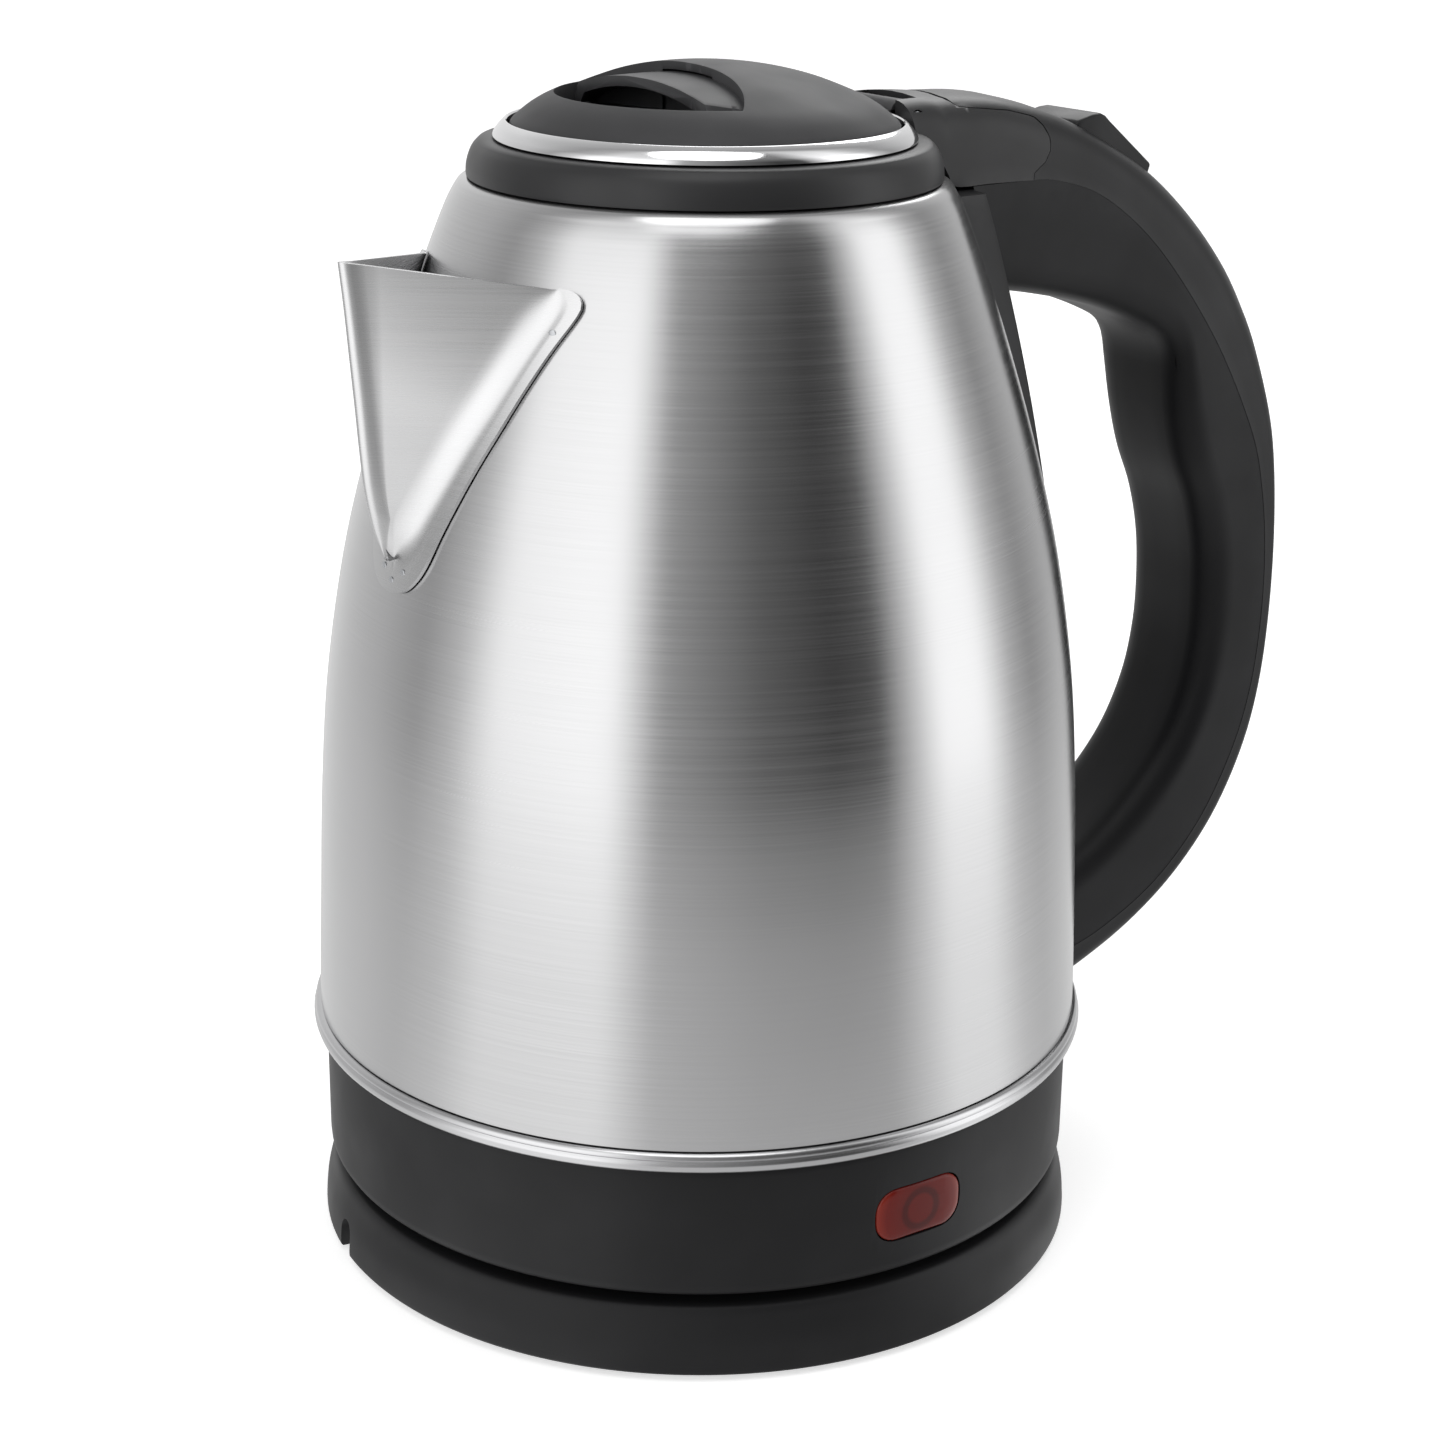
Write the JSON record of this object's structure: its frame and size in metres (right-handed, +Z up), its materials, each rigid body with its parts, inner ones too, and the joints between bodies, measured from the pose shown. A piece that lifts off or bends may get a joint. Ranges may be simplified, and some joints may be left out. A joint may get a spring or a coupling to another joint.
{
  "type": "electric kettle",
  "caption": "Cordless electric kettle: brushed steel body with a folded spout, hinged lid, loop handle with rocker switch, and a swivelling power base.",
  "frame": {"origin": "centre of the power base's flat underside, 1.2 mm above the surface that its rubber feet stand on", "axes": "+Z up along the body's axis, +X towards the handle, -X towards the spout, -Y towards the indicator lens"},
  "size_m": [0.2273, 0.156, 0.2321],
  "materials": {
    "base_black": "fine moulded texture",
    "collar_black": "satin",
    "grip_black": "satin",
    "cover_satin": "satin",
    "lid_charcoal": "soft matt",
    "rocker_black": "satin",
    "grey_nylon": "plain",
    "control_ivory": "plain",
    "seal_rubber": "matt",
    "brushed_steel": "brushed round the body",
    "chrome_trim": "bright plated",
    "aluminium": "plain",
    "brass_contact": "plain",
    "zinc_steel": "zinc plated",
    "red_lens": "translucent red",
    "lamp_glass": "clear",
    "wire_sleeve": "plain"
  },
  "bodies": {
    "power_base": {"base_shell": "base_black", "base_lower_cover": "base_black", "base_foot_1": "seal_rubber", "base_foot_2": "seal_rubber", "base_foot_3": "seal_rubber", "base_screw_1": "zinc_steel", "base_screw_2": "zinc_steel", "base_screw_3": "zinc_steel", "coupler_plug": "base_black", "coupler_live_ring": "brass_contact", "coupler_neutral_ring": "brass_contact", "coupler_earth_pin": "brass_contact"},
    "coupler_shutter": {"coupler_shutter": "grey_nylon", "coupler_spring": "zinc_steel"},
    "kettle": {"body_shell": "brushed_steel", "spout": "brushed_steel", "bottom_rim": "brushed_steel", "heater_plate": "brushed_steel", "heat_diffuser": "aluminium", "heating_element": "aluminium", "element_terminal_1": "zinc_steel", "element_terminal_2": "zinc_steel", "kettle_socket": "control_ivory", "socket_earth_tube": "brass_contact", "socket_live_blade": "brass_contact", "socket_neutral_blade": "brass_contact", "control_unit": "control_ivory", "boil_dry_disc_1": "brass_contact", "boil_dry_disc_2": "brass_contact", "lower_skirt": "base_black", "indicator_lens": "red_lens", "indicator_lamp": "lamp_glass", "skirt_floor": "base_black", "skirt_screw_1": "zinc_steel", "skirt_screw_2": "zinc_steel", "skirt_screw_3": "zinc_steel", "handle_screw_1": "zinc_steel", "handle_screw_2": "zinc_steel", "collar": "collar_black", "hinge_pin": "zinc_steel", "trim_ring": "chrome_trim", "collar_gasket": "seal_rubber", "handle_cover": "cover_satin", "handle_grip": "grip_black", "handle_strip": "cover_satin", "rocker_pin": "zinc_steel", "steam_switch_body": "control_ivory", "steam_disc": "brass_contact", "switch_wire_1": "wire_sleeve", "switch_wire_2": "wire_sleeve"},
    "lid": {"lid_dome": "lid_charcoal", "lid_inner_cover": "brushed_steel", "lid_gasket": "seal_rubber", "lid_screw_1": "zinc_steel", "lid_screw_2": "zinc_steel", "latch_spring": "zinc_steel"},
    "latch": {"latch_pull": "lid_charcoal", "latch_bolt": "grey_nylon"},
    "switch_rocker": {"switch_rocker": "rocker_black"},
    "switch_lever": {"switch_lever": "control_ivory"}
  },
  "joints": [
    {"name": "base_swivel", "type": "hinge", "parent": "power_base", "child": "coupler_shutter", "pos_m": [0, 0, 0.014], "axis": [0, 0, 1], "continuous": true},
    {"name": "kettle_lift", "type": "slide", "parent": "coupler_shutter", "child": "kettle", "axis": [0, 0, 1], "range_m": [0, 0.06]},
    {"name": "lid_hinge", "type": "hinge", "parent": "kettle", "child": "lid", "pos_m": [0.0415, 0, 0.2193], "axis": [0, 1, 0], "range_deg": [0, 80]},
    {"name": "latch_slide", "type": "slide", "parent": "lid", "child": "latch", "axis": [1, 0, 0], "range_m": [0, 0.0035], "stiffness_N_per_m": 250, "springref_m": -0.004, "deforming": ["latch_spring"]},
    {"name": "rocker_pivot", "type": "hinge", "parent": "kettle", "child": "switch_rocker", "pos_m": [0.09543, 0, 0.20663], "axis": [0, 1, 0], "range_deg": [0, 8]},
    {"name": "lever_pivot", "type": "hinge", "parent": "kettle", "child": "switch_lever", "pos_m": [0.09868, 0, 0.19796], "axis": [0, 1, 0], "range_deg": [0, 8]}
  ],
  "couplings": [
    {"joint": "lever_pivot", "follows": "rocker_pivot", "ratio": 1}
  ]
}
